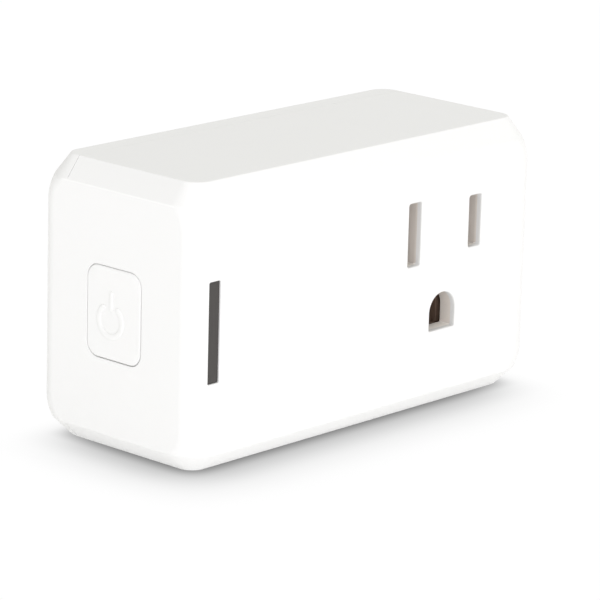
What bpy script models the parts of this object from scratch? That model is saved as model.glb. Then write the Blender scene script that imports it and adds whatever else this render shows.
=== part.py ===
"""Wall smart plug: a white housing with one three-hole socket, a side button and the parts inside it.

Sizes are in millimetres and MM turns them to metres. X runs along the housing, with the button end at -X.
The socket faces -Y, the blades leave the back at +Y, and Z is up from the flat bottom face.
"""

import math

import bmesh
import bpy
from mathutils import Matrix, Vector

MM = 0.001

# Housing
LENGTH = 68.5
DEPTH = 29.5
HEIGHT = 39.2
WALL = 1.8
CORNER_RADIUS = 3.1
TOP_INSET = 2.3
TOP_DROP = 3.0
BOTTOM_INSET = 2.75
BOTTOM_RISE = 2.65
BAND_SEAM_DEPTH = 24.2
WALL_SEAM_DEPTH = 27.6
SEAM_GAP = 0.2
LIP_DEPTH = 1.6
LIP_OFFSET = 1.0
LIP_WALL = 0.9
LIP_Z = (5.2, 34.0)
FIT = 0.3

LEFT = -LENGTH / 2
RIGHT = LENGTH / 2
FRONT = -DEPTH / 2
BACK = DEPTH / 2
FRONT_INSIDE = FRONT + WALL
BACK_INSIDE = BACK - WALL
LEFT_INSIDE = LEFT + WALL
BAND_SEAM = FRONT + BAND_SEAM_DEPTH
WALL_SEAM = FRONT + WALL_SEAM_DEPTH
WALL_LOW = BOTTOM_RISE
WALL_HIGH = HEIGHT - TOP_DROP

# Socket and plug, at the standard spacing of a grounded 15 A pair
SOCKET_X = 15.03
BLADE_Z = 26.08
BLADE_SPACING = 12.7
GROUND_DROP = 11.9
NEUTRAL_X = SOCKET_X - BLADE_SPACING / 2
HOT_X = SOCKET_X + BLADE_SPACING / 2
GROUND_Z = BLADE_Z - GROUND_DROP
SLOT_WIDTH = 2.6
NEUTRAL_SLOT = 9.0
HOT_SLOT = 7.4
GROUND_HOLE_RADIUS = 2.7
GROUND_HOLE_FLAT = 2.6
PAD_BACK = FRONT + 3.4
BLADE_THICKNESS = 1.5
NEUTRAL_BLADE_WIDTH = 7.9
HOT_BLADE_WIDTH = 6.35
BLADE_LENGTH = 17.5
BLADE_HOLE_RADIUS = 1.6
BLADE_HOLE_FROM_TIP = 5.8
GROUND_PIN_RADIUS = 2.37
GROUND_PIN_LENGTH = 20.6
GROUND_PIN_NOSE = 2.4
GROUND_PIN_FLANGE = 3.4

# Layers behind the socket, front to back
CARRIER_FRONT = PAD_BACK + FIT
CARRIER_BACK = 8.0
RETAINER = (8.3, 9.3)
STRAP = (9.6, 10.2)
FLANGE = (10.5, BACK_INSIDE - FIT)
STRAP_WIDTH = 4.0

# Window and button
WINDOW_X = -30.58
WINDOW_Z = 19.6
WINDOW_WIDTH = 2.1
WINDOW_HEIGHT = 13.6
WINDOW_RECESS = 0.45
BUTTON_Y = 0.2
BUTTON_Z = 19.5
BUTTON_WIDTH = 10.2
BUTTON_HEIGHT = 12.8
BUTTON_RADIUS = 2.0
BUTTON_GAP = 0.2
SWITCH_FRONT = -28.9
PLUNGER_X = (-29.4, -28.1)
PLUNGER_RADIUS = 1.6

# Boards
BOARD = (7.2, 8.8)
BOARD_X = (-23.5, 3.5)
BOARD_Z = (3.2, 35.6)
SWITCH_BOARD_X = (-25.4, -24.6)
BOARD_POSTS = (("left", -20.8, 33.0), ("right", 0.6, 5.8))
POST_RADIUS = 2.0
PILOT_RADIUS = 0.95
PILOT_DEPTH = 7.0

# Relay, standing on the board's front face
RELAY_X = (-17.0, 3.0)
RELAY_Z = (22.0, 32.2)
RELAY_TOP = -8.4
RELAY_BASE = (5.4, 6.9)
COIL_X = -10.5
COIL_Z = 27.1
HINGE_X = -15.9
HINGE_Y = -6.1

PALETTE = {
    "white_shell": ((0.86, 0.86, 0.85), 0.42, 0.0),
    "smoked_lens": ((0.10, 0.09, 0.09), 0.25, 0.0),
    "clear_guide": ((0.85, 0.88, 0.90), 0.15, 0.0),
    "carrier_plastic": ((0.07, 0.06, 0.055), 0.5, 0.0),
    "relay_case": ((0.03, 0.03, 0.035), 0.4, 0.0),
    "board_green": ((0.03, 0.22, 0.10), 0.45, 0.0),
    "blade_brass": ((0.80, 0.62, 0.30), 0.3, 1.0),
    "contact_brass": ((0.72, 0.50, 0.22), 0.35, 1.0),
    "iron": ((0.55, 0.55, 0.56), 0.4, 1.0),
    "copper_winding": ((0.62, 0.25, 0.10), 0.35, 0.6),
    "white_bobbin": ((0.80, 0.79, 0.74), 0.5, 0.0),
    "shield_tin": ((0.78, 0.79, 0.80), 0.3, 1.0),
    "capacitor_sleeve": ((0.05, 0.05, 0.08), 0.35, 0.0),
    "disc_blue": ((0.05, 0.14, 0.38), 0.4, 0.0),
    "ferrite": ((0.08, 0.08, 0.08), 0.6, 0.0),
    "resistor_body": ((0.25, 0.45, 0.30), 0.5, 0.0),
    "tape_yellow": ((0.78, 0.62, 0.10), 0.4, 0.0),
    "led_body": ((0.92, 0.92, 0.86), 0.3, 0.0),
    "screw_steel": ((0.60, 0.60, 0.62), 0.3, 1.0),
}


def clear_scene():
    for obj in list(bpy.data.objects):
        bpy.data.objects.remove(obj, do_unlink=True)


def new_collection(name):
    collection = bpy.data.collections.new(name)
    bpy.context.scene.collection.children.link(collection)
    return collection


def material(slot):
    found = bpy.data.materials.get(slot)
    if found:
        return found
    colour, roughness, metallic = PALETTE[slot]
    made = bpy.data.materials.new(slot)
    made.use_nodes = True
    shader = made.node_tree.nodes["Principled BSDF"]
    shader.inputs["Base Color"].default_value = (*colour, 1.0)
    shader.inputs["Roughness"].default_value = roughness
    shader.inputs["Metallic"].default_value = metallic
    return made


def place(name, mesh, slot, at=(0, 0, 0)):
    """A part when it has a material slot, and a hidden cutter when it has none."""
    obj = bpy.data.objects.new(name, mesh)
    obj.location = Vector(at) * MM
    if slot is None:
        bpy.data.collections["cutters"].objects.link(obj)
        obj.hide_render = True
        obj.display_type = "WIRE"
        return obj
    bpy.data.collections["smart_plug"].objects.link(obj)
    mesh.materials.append(material(slot))
    return obj


def mesh_of(shape, name):
    mesh = bpy.data.meshes.new(name)
    bmesh.ops.recalc_face_normals(shape, faces=shape.faces)
    shape.to_mesh(mesh)
    shape.free()
    return mesh


def smooth(obj, degrees=35):
    obj.data.shade_smooth()
    obj.data.set_sharp_from_angle(angle=math.radians(degrees))
    return obj


def box(name, x, y, z, slot=None, corner=0.0, along="Y"):
    """A box between the given (low, high) pairs, with the edges that run along one axis rounded."""
    size = Vector((x[1] - x[0], y[1] - y[0], z[1] - z[0]))
    middle = ((x[0] + x[1]) / 2, (y[0] + y[1]) / 2, (z[0] + z[1]) / 2)
    shape = bmesh.new()
    bmesh.ops.create_cube(shape, size=1, matrix=Matrix.Diagonal((*(size * MM), 1)))
    if corner:
        axis = "XYZ".index(along)
        edges = [e for e in shape.edges if abs((e.verts[0].co - e.verts[1].co)[axis]) > 1e-6]
        bmesh.ops.bevel(shape, geom=edges, offset=corner * MM, segments=4, profile=0.5, affect="EDGES")
    return place(name, mesh_of(shape, name), slot, middle)


AXIS_TURNS = {
    "X": Matrix.Rotation(math.pi / 2, 4, "Y"),
    "Y": Matrix.Rotation(math.pi / 2, 4, "X"),
    "Z": Matrix.Identity(4),
}


def cylinder(name, middle, radius, length, axis, slot=None, sides=24):
    shape = bmesh.new()
    bmesh.ops.create_cone(
        shape,
        cap_ends=True,
        segments=sides,
        radius1=radius * MM,
        radius2=radius * MM,
        depth=length * MM,
        matrix=AXIS_TURNS[axis],
    )
    return smooth(place(name, mesh_of(shape, name), slot, middle))


def turned(name, middle, profile, slot, axis="Y", steps=24):
    """A body with the given (radius, height) outline, turned about an axis by a Screw modifier.

    An outline that starts and ends on the axis is left open there, and any other is closed to a ring.
    """
    area = 0.0
    for (r1, h1), (r2, h2) in zip(profile, profile[1:] + profile[:1]):
        area += r1 * h2 - r2 * h1
    if area > 0:
        profile = profile[::-1]
    shape = bmesh.new()
    verts = [shape.verts.new((r * MM, 0, h * MM)) for r, h in profile]
    solid = profile[0][0] == 0 and profile[-1][0] == 0
    following = verts[1:] if solid else verts[1:] + verts[:1]
    for here, there in zip(verts, following):
        shape.edges.new((here, there))
    mesh = bpy.data.meshes.new(name)
    shape.to_mesh(mesh)
    shape.free()
    obj = place(name, mesh, slot, middle)
    obj.rotation_euler = AXIS_TURNS[axis].to_euler()
    screw = obj.modifiers.new("turn", "SCREW")
    screw.steps = steps
    screw.render_steps = steps
    screw.use_merge_vertices = True
    screw.merge_threshold = 1e-6
    return obj


def combine(obj, other, operation):
    step = obj.modifiers.new(f"{operation.lower()} {other.name}", "BOOLEAN")
    step.operation = operation
    step.solver = "EXACT"
    step.object = other
    return obj


def cut(obj, *cutters):
    for cutter in cutters:
        combine(obj, cutter, "DIFFERENCE")
    return obj


def join(obj, *helpers):
    for helper in helpers:
        combine(obj, helper, "UNION")
    return obj


def plate(name, outline, z, slot=None):
    """A flat outline in X and Y, as a filled curve extruded between two heights and made a mesh."""
    curve = bpy.data.curves.new(name, "CURVE")
    curve.dimensions = "2D"
    curve.fill_mode = "BOTH"
    curve.extrude = (z[1] - z[0]) / 2 * MM
    line = curve.splines.new("POLY")
    line.points.add(len(outline) - 1)
    for point, (x, y) in zip(line.points, outline):
        point.co = (x * MM, y * MM, 0, 1)
    line.use_cyclic_u = True
    guide = bpy.data.objects.new(name + "_outline", curve)
    bpy.context.scene.collection.objects.link(guide)
    graph = bpy.context.evaluated_depsgraph_get()
    mesh = bpy.data.meshes.new_from_object(guide.evaluated_get(graph))
    bpy.data.objects.remove(guide, do_unlink=True)
    shape = bmesh.new()
    shape.from_mesh(mesh)
    bmesh.ops.remove_doubles(shape, verts=shape.verts, dist=1e-6)
    return place(name, mesh_of(shape, name), slot, (0, 0, (z[0] + z[1]) / 2))


def strip_outline(path, thickness):
    """The outline of a bent strip of even thickness whose middle follows the path."""
    sides = ([], [])
    for i, point in enumerate(path):
        here = Vector(point)
        before = (here - Vector(path[i - 1])).normalized() if i else None
        after = (Vector(path[i + 1]) - here).normalized() if i + 1 < len(path) else None
        run = ((before or after) + (after or before)).normalized()
        across = Vector((-run.y, run.x))
        stretch = 1 / max(0.3, run.dot(after or before))
        sides[0].append(tuple(here + across * thickness / 2 * stretch))
        sides[1].append(tuple(here - across * thickness / 2 * stretch))
    return sides[0] + sides[1][::-1]


def rounded_ring(shape, half_x, half_y, radius, z, steps=5):
    """One closed loop of vertices round a rectangle with rounded corners, at height z."""
    ring = []
    for turn, (sx, sy) in enumerate(((1, 1), (-1, 1), (-1, -1), (1, -1))):
        for step in range(steps + 1):
            angle = math.pi / 2 * (turn + step / steps)
            x = sx * (half_x - radius) + radius * math.cos(angle)
            y = sy * (half_y - radius) + radius * math.sin(angle)
            ring.append(shape.verts.new(Vector((x, y, z)) * MM))
    return ring


def housing_block(name, inset, slot=None):
    """The housing's outer form, shrunk by inset: straight walls with a sloped band round each end."""
    levels = (
        (inset, BOTTOM_INSET),
        (BOTTOM_RISE, 0.0),
        (HEIGHT - TOP_DROP, 0.0),
        (HEIGHT - inset, TOP_INSET),
    )
    shape = bmesh.new()
    rings = []
    for height, shift in levels:
        pull = inset + shift
        radius = max(CORNER_RADIUS - inset - 0.3 * shift, 1.0)
        ring = rounded_ring(shape, LENGTH / 2 - pull, DEPTH / 2 - pull, radius, height - HEIGHT / 2)
        rings.append(ring)
    for low, high in zip(rings, rings[1:]):
        for i in range(len(low)):
            after = (i + 1) % len(low)
            shape.faces.new((low[i], low[after], high[after], high[i]))
    shape.faces.new(rings[0][::-1])
    shape.faces.new(rings[-1])
    bmesh.ops.triangulate(shape, faces=shape.faces)
    return smooth(place(name, mesh_of(shape, name), slot, (0, 0, HEIGHT / 2)), 20)


def ground_hole(name, y, radius, flat):
    """The round-topped, flat-bottomed opening for a ground pin, as a cutter between two depths."""
    steps = 16
    outline = [(-radius, -flat), (radius, -flat)]
    for step in range(steps + 1):
        angle = math.pi * step / steps
        outline.append((radius * math.cos(angle), radius * math.sin(angle)))
    half = (y[1] - y[0]) / 2
    hole = plate(name, outline, (-half, half))
    hole.rotation_euler = (math.pi / 2, 0, 0)
    hole.location = Vector((SOCKET_X, (y[0] + y[1]) / 2, GROUND_Z)) * MM
    return hole


def slot_cutters(name, y, margin=0.0):
    """The three socket openings as cutters between two depths, widened by margin."""
    made = []
    for side, x, height in (("neutral", NEUTRAL_X, NEUTRAL_SLOT), ("hot", HOT_X, HOT_SLOT)):
        half = SLOT_WIDTH / 2 + margin
        tall = height / 2 + margin
        z = (BLADE_Z - tall, BLADE_Z + tall)
        made.append(box(f"{name}_{side}", (x - half, x + half), y, z, corner=0.3))
    radius = GROUND_HOLE_RADIUS + margin
    made.append(ground_hole(f"{name}_ground", y, radius, GROUND_HOLE_FLAT + margin))
    return made


def front_housing():
    body = housing_block("front_housing", 0, "white_shell")
    cut(body, housing_block("housing_inside", WALL))
    across = (LEFT - 5, RIGHT + 5)
    cut(body, box("behind_top_seam", across, (BAND_SEAM, BACK + 5), (WALL_HIGH, HEIGHT + 5)))
    cut(body, box("behind_bottom_seam", across, (BAND_SEAM, BACK + 5), (-5, WALL_LOW)))
    cut(body, box("behind_wall_seam", across, (WALL_SEAM, BACK + 5), (-5, HEIGHT + 5)))
    pad = box(
        "socket_pad",
        (SOCKET_X - 11, SOCKET_X + 11),
        (FRONT_INSIDE - 0.5, PAD_BACK),
        (GROUND_Z - 6.5, BLADE_Z + 6.5),
    )
    join(body, pad)
    root = FRONT_INSIDE - 0.5
    end = BOARD[0] - FIT
    for name, x, z in BOARD_POSTS:
        middle = (x, (root + end) / 2, z)
        join(body, cylinder(f"post_{name}", middle, POST_RADIUS, end - root, "Y", sides=16))
        middle = (x, end - PILOT_DEPTH / 2 + 0.5, z)
        cut(body, cylinder(f"pilot_{name}", middle, PILOT_RADIUS, PILOT_DEPTH + 1, "Y", sides=12))
    cut(body, *slot_cutters("opening", (FRONT - 2, PAD_BACK + 2)))
    half = WINDOW_WIDTH / 2
    tall = WINDOW_HEIGHT / 2
    cut(
        body,
        box(
            "window_opening",
            (WINDOW_X - half, WINDOW_X + half),
            (FRONT - 2, FRONT_INSIDE + 2),
            (WINDOW_Z - tall, WINDOW_Z + tall),
            corner=0.2,
        ),
    )
    cut(body, button_form("button_opening", 0, (LEFT - 2, LEFT_INSIDE + 1)))


def button_form(name, inset, x, slot=None):
    half = BUTTON_WIDTH / 2 - inset
    tall = BUTTON_HEIGHT / 2 - inset
    return box(
        name,
        x,
        (BUTTON_Y - half, BUTTON_Y + half),
        (BUTTON_Z - tall, BUTTON_Z + tall),
        slot,
        BUTTON_RADIUS - inset,
        "X",
    )


def rear_cover():
    body = housing_block("rear_cover", 0, "white_shell")
    across = (LEFT - 5, RIGHT + 5)
    cut(body, box("ahead_of_seam", across, (FRONT - 5, BAND_SEAM + SEAM_GAP), (-5, HEIGHT + 5)))
    z = (WALL_LOW - SEAM_GAP, WALL_HIGH + SEAM_GAP)
    cut(body, box("ahead_of_wall_seam", across, (FRONT - 5, WALL_SEAM + SEAM_GAP), z))
    cut(body, housing_block("cover_inside", WALL))
    outer = RIGHT - WALL - LIP_OFFSET
    inner = outer - LIP_WALL
    for name, side in (("left", -1), ("right", 1)):
        x = sorted((side * inner, side * outer))
        join(body, box(f"cover_lip_{name}", x, (WALL_SEAM - LIP_DEPTH, WALL_SEAM + 1.0), LIP_Z))
    y = (BACK_INSIDE - 2, BACK + 2)
    for side, x, width in (("neutral", NEUTRAL_X, NEUTRAL_BLADE_WIDTH), ("hot", HOT_X, HOT_BLADE_WIDTH)):
        half = BLADE_THICKNESS / 2 + 0.15
        tall = width / 2 + 0.15
        cut(body, box(f"cover_{side}", (x - half, x + half), y, (BLADE_Z - tall, BLADE_Z + tall)))
    hole = cylinder("cover_ground", (SOCKET_X, BACK, GROUND_Z), GROUND_PIN_RADIUS + 0.15, 8, "Y", None, 32)
    cut(body, hole)


def indicator_window():
    half = WINDOW_WIDTH / 2 - 0.1
    tall = WINDOW_HEIGHT / 2 - 0.1
    lens = box(
        "indicator_window",
        (WINDOW_X - half, WINDOW_X + half),
        (FRONT + WINDOW_RECESS, FRONT_INSIDE + 0.6),
        (WINDOW_Z - tall, WINDOW_Z + tall),
        "smoked_lens",
    )
    flange = box(
        "window_flange",
        (WINDOW_X - half - 0.2, WINDOW_X + half + 0.8),
        (FRONT_INSIDE + FIT, FRONT_INSIDE + FIT + 0.7),
        (WINDOW_Z - tall - 0.8, WINDOW_Z + tall + 0.8),
    )
    join(lens, flange)
    guide_front = FRONT_INSIDE + FIT + 1.0
    outline = (
        (WINDOW_X - 0.9, guide_front),
        (WINDOW_X + 0.9, guide_front),
        (-26.0, -9.0),
        (-26.0, -7.6),
        (-27.6, -7.6),
        (WINDOW_X - 0.9, -9.6),
    )
    plate("light_guide", outline, (WINDOW_Z - tall, WINDOW_Z + tall), "clear_guide")


def power_button():
    inside = LEFT_INSIDE + 0.25
    cap = button_form("power_button", BUTTON_GAP, (LEFT, inside + 0.4), "white_shell")
    flange = button_form("button_flange", -0.9, (inside, inside + 0.8))
    stem_end = PLUNGER_X[0] - BUTTON_GAP
    stem_root = inside + 0.6
    middle = ((stem_root + stem_end) / 2, BUTTON_Y, BUTTON_Z)
    stem = cylinder("button_stem", middle, 1.5, stem_end - stem_root, "X", sides=16)
    join(cap, flange, stem)


def tact_switch():
    face = SWITCH_BOARD_X[0] - FIT
    y = (BUTTON_Y - 3.0, BUTTON_Y + 3.0)
    z = (BUTTON_Z - 3.0, BUTTON_Z + 3.0)
    body = box("switch_body", (SWITCH_FRONT, face), y, z, "carrier_plastic")
    middle = (SWITCH_FRONT + 0.3, BUTTON_Y, BUTTON_Z)
    cut(body, cylinder("switch_bore", middle, PLUNGER_RADIUS + 0.15, 3.2, "X"))
    middle = ((PLUNGER_X[0] + PLUNGER_X[1]) / 2, BUTTON_Y, BUTTON_Z)
    plunger_length = PLUNGER_X[1] - PLUNGER_X[0]
    cylinder("switch_plunger", middle, PLUNGER_RADIUS, plunger_length, "X", "capacitor_sleeve", 20)
    board = box("switch_board", SWITCH_BOARD_X, (-8.5, 6.8), (9.0, 30.0), "board_green")
    cut(board, cylinder("switch_board_hole", (SWITCH_BOARD_X[0], 4.6, 12.0), 0.8, 4, "X", None, 12))
    box("indicator_led", (face - 1.8, face), (-7.2, -5.4), (17.5, 21.1), "led_body")
    back = SWITCH_BOARD_X[1] + FIT
    box("board_header", (back, back + 0.5), (-3.0, 5.0), (15.0, 17.5), "carrier_plastic")


def contact_carrier():
    x = (SOCKET_X - 10.5, SOCKET_X + 10.5)
    z = (GROUND_Z - 6.0, BLADE_Z + 6.2)
    body = box("contact_carrier", x, (CARRIER_FRONT, CARRIER_BACK), z, "carrier_plastic", 1.5)
    for side, at, height in (("neutral", NEUTRAL_X, NEUTRAL_SLOT), ("hot", HOT_X, HOT_SLOT)):
        tall = height / 2 + 0.7
        pocket = box(
            f"{side}_pocket",
            (at - 2.6, at + 2.6),
            (CARRIER_FRONT + 1.0, CARRIER_BACK + 1),
            (BLADE_Z - tall, BLADE_Z + tall),
        )
        cut(body, pocket)
    pocket = cylinder(
        "ground_pocket",
        (SOCKET_X, (CARRIER_FRONT + 1.2 + CARRIER_BACK + 1) / 2, GROUND_Z),
        4.2,
        CARRIER_BACK - CARRIER_FRONT - 0.2,
        "Y",
        None,
        32,
    )
    cut(body, pocket)
    cut(body, *slot_cutters("carrier_entry", (CARRIER_FRONT - 1, CARRIER_FRONT + 2), 0.15))


def clip_path(x):
    """The middle line of a hairpin contact: two leaves that lean in and flare at the mouth."""
    half = [(-8.9, 1.7), (-7.0, 0.95), (0.0, 1.15), (5.4, 1.5), (6.6, 0.9)]
    one = [(x + out, y) for y, out in half]
    two = [(x - out, y) for y, out in reversed(half)]
    return one + two


def socket_contacts():
    for side, x, width in (("neutral", NEUTRAL_X, 7.0), ("hot", HOT_X, 6.0)):
        outline = strip_outline(clip_path(x), 0.5)
        plate(f"{side}_contact", outline, (BLADE_Z - width / 2, BLADE_Z + width / 2), "contact_brass")
    middle = (SOCKET_X, -0.6, GROUND_Z)
    ring = [(2.5, -7.4), (3.1, -7.4), (3.1, 7.4), (2.5, 7.4)]
    sleeve = turned("ground_contact", middle, ring, "contact_brass")
    slit = box(
        "ground_slit",
        (SOCKET_X - 0.5, SOCKET_X + 0.5),
        (-12, 10),
        (GROUND_Z - 4, GROUND_Z),
    )
    cut(sleeve, slit)
    body = box(
        "contact_retainer",
        (SOCKET_X - 10.2, SOCKET_X + 10.2),
        RETAINER,
        (GROUND_Z - 5.7, BLADE_Z + 5.9),
        "carrier_plastic",
        1.2,
    )
    cut(body, cylinder("retainer_hole", (SOCKET_X, 8.8, GROUND_Z), 2.7, 4, "Y", None, 24))


def blade(side, x, width):
    half = BLADE_THICKNESS / 2
    tall = width / 2
    tip = BACK + BLADE_LENGTH
    outline = (
        (-tall, FLANGE[0] + 0.3),
        (tall, FLANGE[0] + 0.3),
        (tall, tip - 1.6),
        (tall - 1.1, tip),
        (1.1 - tall, tip),
        (-tall, tip - 1.6),
    )
    blank = plate(f"{side}_blade", outline, (-half, half), "blade_brass")
    blank.rotation_euler = (0, math.pi / 2, 0)
    blank.location = (x * MM, 0, BLADE_Z * MM)
    flange = box(
        f"{side}_flange",
        (x - 2.2, x + 2.2),
        FLANGE,
        (BLADE_Z - tall - 0.6, BLADE_Z + tall + 0.6),
    )
    join(blank, flange)
    at = (x, tip - BLADE_HOLE_FROM_TIP, BLADE_Z)
    cut(blank, cylinder(f"{side}_hole", at, BLADE_HOLE_RADIUS, 6, "X"))


def plug_blades():
    blade("neutral", NEUTRAL_X, NEUTRAL_BLADE_WIDTH)
    blade("hot", HOT_X, HOT_BLADE_WIDTH)
    tip = BACK + GROUND_PIN_LENGTH
    straight = tip - GROUND_PIN_NOSE
    steps = 4
    profile = [(0, -tip)]
    for step in range(1, steps + 1):
        angle = math.pi / 2 * step / steps
        height = straight + GROUND_PIN_NOSE * math.cos(angle)
        profile.append((GROUND_PIN_RADIUS * math.sin(angle), -height))
    profile.append((GROUND_PIN_RADIUS, -FLANGE[1]))
    profile += [(GROUND_PIN_FLANGE, -FLANGE[1]), (GROUND_PIN_FLANGE, -FLANGE[0]), (0, -FLANGE[0])]
    turned("ground_pin", (SOCKET_X, 0, GROUND_Z), profile, "blade_brass", steps=28)


def straps():
    """Flat links from the blades to the socket contacts and the board, behind the retainer."""
    half = STRAP_WIDTH / 2
    run = (STRAP[0] + 0.02, STRAP[1] - 0.02)
    top = BLADE_Z + NEUTRAL_BLADE_WIDTH / 2
    box("neutral_strap", (NEUTRAL_X - half, NEUTRAL_X + half), STRAP, (BLADE_Z - 3.5, top), "contact_brass")
    x = (SOCKET_X - 3.0, SOCKET_X + 3.0)
    box("ground_strap", x, STRAP, (GROUND_Z - 3.0, GROUND_Z + 3.0), "contact_brass")
    x = (HOT_X - half, HOT_X + half)
    hot = box("hot_input_strap", x, STRAP, (BLADE_Z - 3.0, 34.6), "contact_brass")
    join(hot, box("hot_input_run", (0.6, HOT_X + half - 0.1), run, (32.2, 34.4)))
    output = box("hot_output_strap", (1.0, 3.2), STRAP, (19.2, 22.2), "contact_brass")
    join(output, box("hot_output_run", (1.2, SOCKET_X + 4), run, (19.4, 21.4)))


def main_board():
    board = box("main_board", BOARD_X, BOARD, BOARD_Z, "board_green")
    for name, x, z in BOARD_POSTS:
        cut(board, cylinder(f"board_hole_{name}", (x, 8.0, z), 1.3, 4, "Y", None, 16))
        head = cylinder(f"board_screw_{name}", (x, 9.7, z), 1.9, 1.2, "Y", "screw_steel", 20)
        join(head, cylinder(f"screw_shank_{name}", (x, 6.5, z), 0.8, 6.0, "Y", None, 12))
        cut(head, box(f"screw_slot_{name}", (x - 2.5, x + 2.5), (9.8, 12), (z - 0.25, z + 0.25)))
        cut(head, box(f"screw_cross_{name}", (x - 0.25, x + 0.25), (9.8, 12), (z - 2.5, z + 2.5)))


def relay_case():
    x, z = RELAY_X, RELAY_Z
    box("relay_base", x, RELAY_BASE, z, "relay_case")
    cover = box("relay_cover", x, (RELAY_TOP, 5.1), z, "relay_case")
    inner = box("relay_inside", (x[0] + 0.7, x[1] - 0.7), (RELAY_TOP + 0.7, 7), (z[0] + 0.7, z[1] - 0.7))
    cut(cover, inner)


def relay_magnet():
    middle = (COIL_X, 0, COIL_Z)
    spool = [(1.75, -3.6), (4.0, -3.6), (4.0, -2.9), (2.1, -2.9)]
    spool += [(2.1, 4.0), (4.0, 4.0), (4.0, 4.7), (1.75, 4.7)]
    turned("relay_bobbin", middle, spool, "white_bobbin")
    coil = [(2.3, -2.7), (3.7, -2.7), (3.7, 3.8), (2.3, 3.8)]
    turned("relay_winding", middle, coil, "copper_winding")
    core = cylinder("relay_core", (COIL_X, -0.75, COIL_Z), 1.5, 8.7, "Y", "iron", 20)
    join(core, cylinder("relay_pole", (COIL_X, -5.15, COIL_Z), 2.5, 0.3, "Y", None, 20))
    outline = strip_outline([(-15.4, -5.9), (-15.4, 4.5), (-7.4, 4.5)], 1.2)
    plate("relay_yoke", outline, (23.6, 30.6), "iron")


def relay_contacts():
    armature = box("relay_armature", (0.0, 9.4), (-1.1, -0.1), (-3.4, 3.4), "iron")
    armature.data.transform(Matrix.Translation(armature.location))
    armature.location = Vector((HINGE_X, HINGE_Y, COIL_Z)) * MM
    leaf = box("relay_contact_leaf", (9.7, 17.6), (-0.7, -0.45), (-1.6, 1.6), "contact_brass")
    leaf.data.transform(Matrix.Translation(leaf.location))
    leaf.location = Vector((HINGE_X, HINGE_Y, COIL_Z)) * MM
    join(leaf, cylinder("leaf_rivet", (-0.5, HINGE_Y - 0.15, COIL_Z), 0.9, 0.7, "Y", None, 16))
    fixed = box("relay_fixed_contact", (-0.9, -0.1), (-3.6, 5.1), (25.1, 29.1), "contact_brass")
    join(fixed, cylinder("fixed_rivet", (-0.5, -3.95, COIL_Z), 1.1, 0.9, "Y", None, 16))


def power_supply():
    foot = BOARD[0] - FIT
    core = box("transformer_core", (-13.0, -2.0), (-4.0, foot), (5.0, 18.0), "ferrite")
    window = box("transformer_window", (-10.8, -4.2), (-5, 8), (7.2, 15.8))
    cut(core, window)
    winding = box("transformer_winding", (-10.4, -4.6), (-3.2, foot - 0.5), (7.5, 15.5), "tape_yellow", 1.0)
    cut(winding, box("transformer_gap", (-8.3, -6.7), (-5, 8), (9.5, 13.5)))
    for name, x, z, height in (("input", -18.6, 8.0, 11.0), ("output", -18.6, 16.4, 9.0)):
        y = foot - height / 2
        can = cylinder(f"{name}_capacitor", (x, y, z), 3.9, height, "Y", "capacitor_sleeve", 28)
        crown = foot - height
        vent = box(f"{name}_vent", (x - 2.5, x + 2.5), (crown - 1, crown + 0.2), (z - 0.15, z + 0.15))
        cut(can, vent)
    drum = [(0.5, -3.4), (1.7, -3.4), (1.7, -2.6), (1.2, -2.6)]
    drum += [(1.2, 2.6), (1.7, 2.6), (1.7, 3.4), (0.5, 3.4)]
    turned("input_choke", (-9.0, 3.3, 19.9), drum, "copper_winding", "Y", 16)
    box("bridge_rectifier", (-5.2, -0.6), (foot - 2.4, foot), (18.6, 21.6), "relay_case")
    box("supply_chip", (-15.3, -12.0), (foot - 1.6, foot), (19.0, 21.6), "relay_case")


def line_protection():
    foot = BOARD[0] - FIT
    cylinder("varistor", (1.2, 0.6, 14.0), 4.4, 2.6, "X", "disc_blue", 28)
    cylinder("fusible_resistor", (-6.5, 5.0, 34.0), 1.4, 7.0, "X", "resistor_body", 16)


def wifi_module():
    box("wifi_board", (-22.0, -21.2), (-9.0, 6.9), (20.6, 30.0), "board_green")
    shield = box("wifi_shield", (-23.6, -22.3), (-5.5, 5.0), (21.6, 29.4), "shield_tin")
    cut(shield, box("wifi_shield_inside", (-23.3, -21.0), (-5.2, 4.7), (21.9, 29.1)))


def main():
    clear_scene()
    new_collection("smart_plug")
    new_collection("cutters")
    front_housing()
    rear_cover()
    indicator_window()
    power_button()
    tact_switch()
    contact_carrier()
    socket_contacts()
    plug_blades()
    straps()
    main_board()
    relay_case()
    relay_magnet()
    relay_contacts()
    power_supply()
    line_protection()
    wifi_module()


main()
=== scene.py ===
"""Wall smart plug: the finished housing, button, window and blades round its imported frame, on a white stage.

The script is laid out as an add-on and is run as a script. Shapes are worked out in millimetres in the
frame's own axes: X along the housing with the button end at -X, the socket facing -Y, the blades leaving
at +Y and Z up.
"""

import math

import bmesh
import bpy
from bpy.props import FloatProperty, FloatVectorProperty, PointerProperty
from mathutils import Matrix, Vector


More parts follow.
